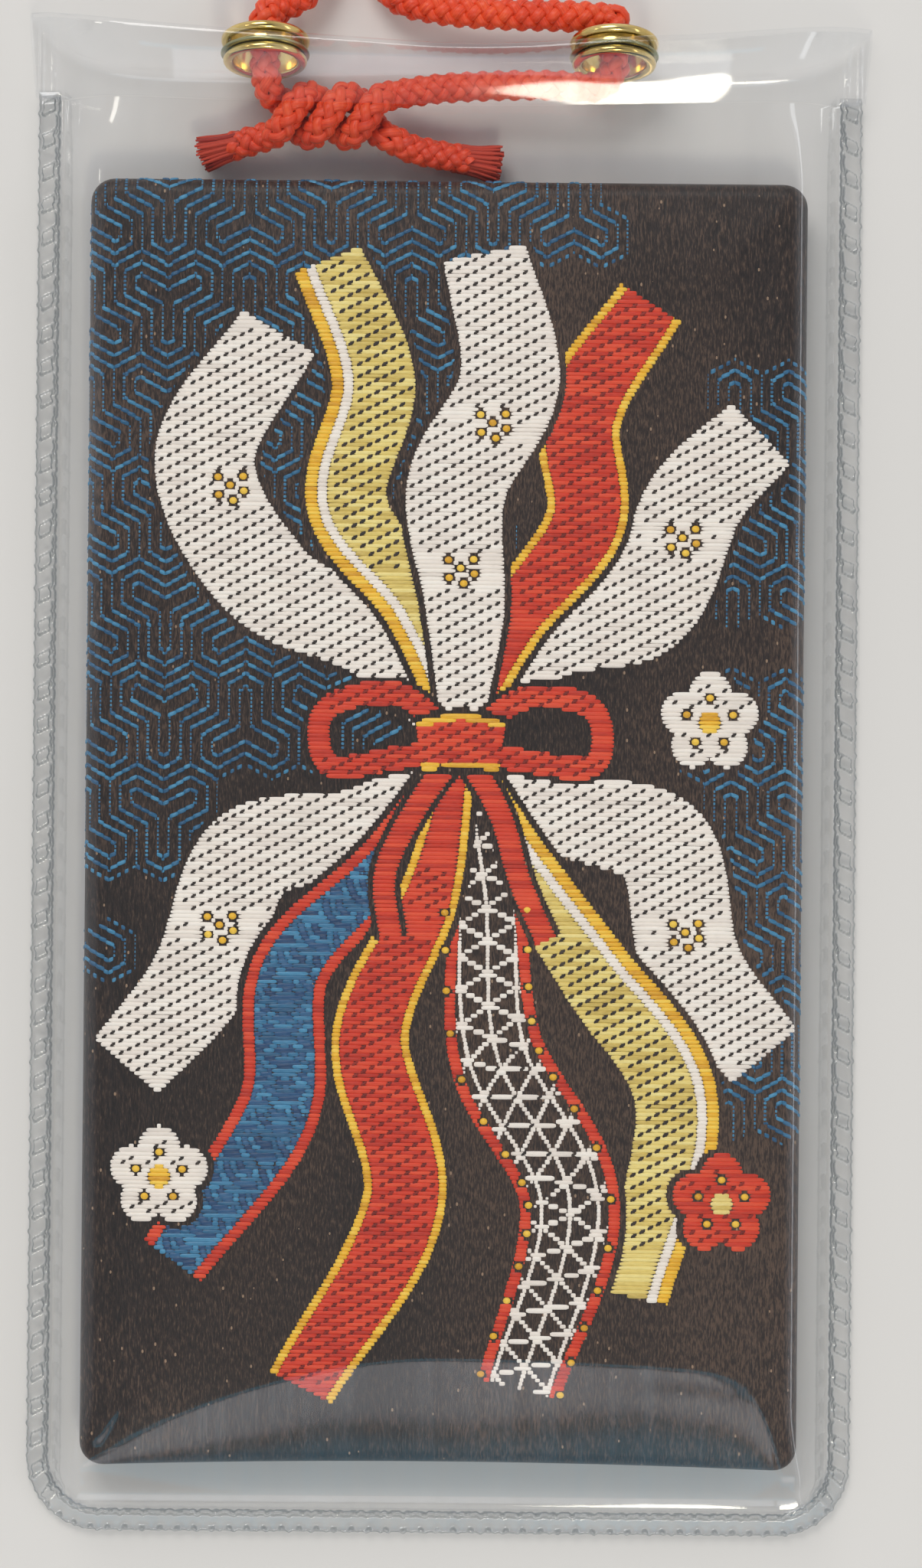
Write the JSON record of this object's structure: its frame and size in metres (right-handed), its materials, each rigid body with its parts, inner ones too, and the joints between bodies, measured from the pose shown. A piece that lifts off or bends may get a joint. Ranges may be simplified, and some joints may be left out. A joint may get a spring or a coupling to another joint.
{
  "type": "omamori charm in sleeve",
  "caption": "Flat brocade charm in a clear welded sleeve with a folded top, brass eyelets and a knotted red hanging cord.",
  "frame": {"origin": "centre of the sleeve's outline on the surface it lies on, measured without the cord", "axes": "+X to the right, +Y towards the top with the eyelets, +Z out of the front face"},
  "size_m": [0.0516, 0.1506, 0.0073],
  "materials": {
    "vinyl": "clear soft vinyl",
    "brass": "polished",
    "cord": "round braid",
    "brocade": "woven brocade",
    "thread": "sewing thread",
    "wadding": "soft wadding",
    "card": "plain card",
    "wood": "planed",
    "washi": "plain paper"
  },
  "bodies": {
    "sleeve": {"sleeve_back_panel": "vinyl", "sleeve_front_panel": "vinyl", "sleeve_weld": "vinyl", "eyelet_left": "brass", "eyelet_right": "brass", "eyelet_washer_left": "brass", "eyelet_washer_right": "brass", "cord_left_end": "cord", "cord_right_end": "cord"},
    "charm": {"brocade_front": "brocade", "brocade_back": "brocade", "seam_thread": "thread", "mouth_thread": "thread", "front_padding": "wadding", "stiffener_card": "card", "tablet": "wood", "tablet_wrapper": "washi", "wrapper_band": "washi"},
    "loop": {"cord_loop": "cord"}
  },
  "joints": [
    {"name": "loop_swing", "type": "hinge", "parent": "sleeve", "child": "loop", "pos_m": [-0.0007, 0.0472, 0.00293], "axis": [1, 0, 0], "range_deg": [0, 80]},
    {"name": "charm_slide", "type": "slide", "parent": "sleeve", "child": "charm", "axis": [0, 1, 0], "range_m": [-0.001, 0]}
  ]
}
